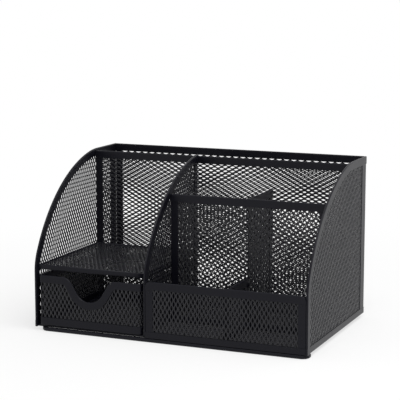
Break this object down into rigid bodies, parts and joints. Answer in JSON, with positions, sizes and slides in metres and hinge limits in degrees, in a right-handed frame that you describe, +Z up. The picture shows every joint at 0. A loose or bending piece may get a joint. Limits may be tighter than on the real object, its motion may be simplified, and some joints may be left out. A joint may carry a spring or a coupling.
{
  "type": "desk organiser",
  "caption": "Steel mesh desk organiser with a letter slot, a note shelf, pen compartments, small trays and a drawer that slides out to the front.",
  "frame": {"origin": "on the desk surface, under the middle of the overall box", "axes": "+Z up, +X to the right of someone facing the drawer, the drawer opens along -Y"},
  "size_m": [0.22, 0.14, 0.129],
  "materials": {
    "strip": "satin",
    "mesh": "satin"
  },
  "bodies": {
    "organiser": {"back_panel_mesh": "mesh", "back_panel_rim": "strip", "base_panel_mesh": "mesh", "base_panel_rim": "strip", "front_foot_rail": "strip", "front_panel_mesh": "mesh", "front_panel_rim": "strip", "left_side_mesh": "mesh", "left_side_rim": "strip", "middle_panel_mesh": "mesh", "middle_panel_rim": "strip", "pen_divider_mesh": "mesh", "pen_divider_rim": "strip", "pen_panel_mesh": "mesh", "pen_panel_rim": "strip", "rear_foot_rail": "strip", "right_side_mesh": "mesh", "right_side_rim": "strip", "shelf_mesh": "mesh", "shelf_rim": "strip", "slot_panel_mesh": "mesh", "slot_panel_rim": "strip", "tray_divider_mesh": "mesh", "tray_divider_rim": "strip"},
    "drawer": {"drawer_back_mesh": "mesh", "drawer_back_rim": "strip", "drawer_floor_mesh": "mesh", "drawer_floor_rim": "strip", "drawer_front_foot_rim": "strip", "drawer_front_mesh": "mesh", "drawer_front_scoop_rim": "strip", "drawer_left_mesh": "mesh", "drawer_left_rim": "strip", "drawer_right_mesh": "mesh", "drawer_right_rim": "strip"}
  },
  "joints": [
    {"name": "drawer_slide", "type": "slide", "parent": "organiser", "child": "drawer", "axis": [0, -1, 0], "range_m": [0, 0.09]}
  ]
}
